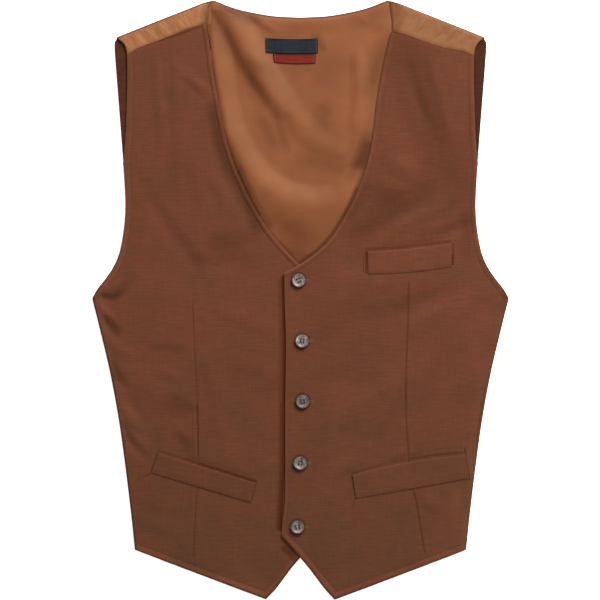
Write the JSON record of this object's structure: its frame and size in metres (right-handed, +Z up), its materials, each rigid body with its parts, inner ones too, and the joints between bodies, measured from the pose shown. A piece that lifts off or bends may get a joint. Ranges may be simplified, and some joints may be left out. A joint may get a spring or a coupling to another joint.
{
  "type": "suit waistcoat",
  "caption": "Single-breasted suit waistcoat laid flat, front up: two suiting fronts with welt pockets, buttoned, on a satin back with shoulder straps.",
  "frame": {"origin": "middle of the laid garment's outline, on the surface it lies on", "axes": "+Y towards the neck, +X towards the wearer's left front, +Z up from the surface, towards the garment's front"},
  "size_m": [0.4468, 0.6427, 0.0101],
  "materials": {
    "suiting": "matte fine wool-look suiting with a faint crosswise slub",
    "satin": "smooth satin lining with a soft sheen",
    "horn": "polished marbled horn look",
    "label_black": "woven damask label, bare",
    "label_red": "woven label, bare"
  },
  "bodies": {
    "root": {"back": "satin", "right_front": "suiting", "left_front": "suiting", "chest_welt": "suiting", "right_hip_welt": "suiting", "left_hip_welt": "suiting", "neck_label": "label_black", "small_label": "label_red", "button_1": "horn", "button_2": "horn", "button_3": "horn", "button_4": "horn", "button_5": "horn"}
  },
  "joints": []
}
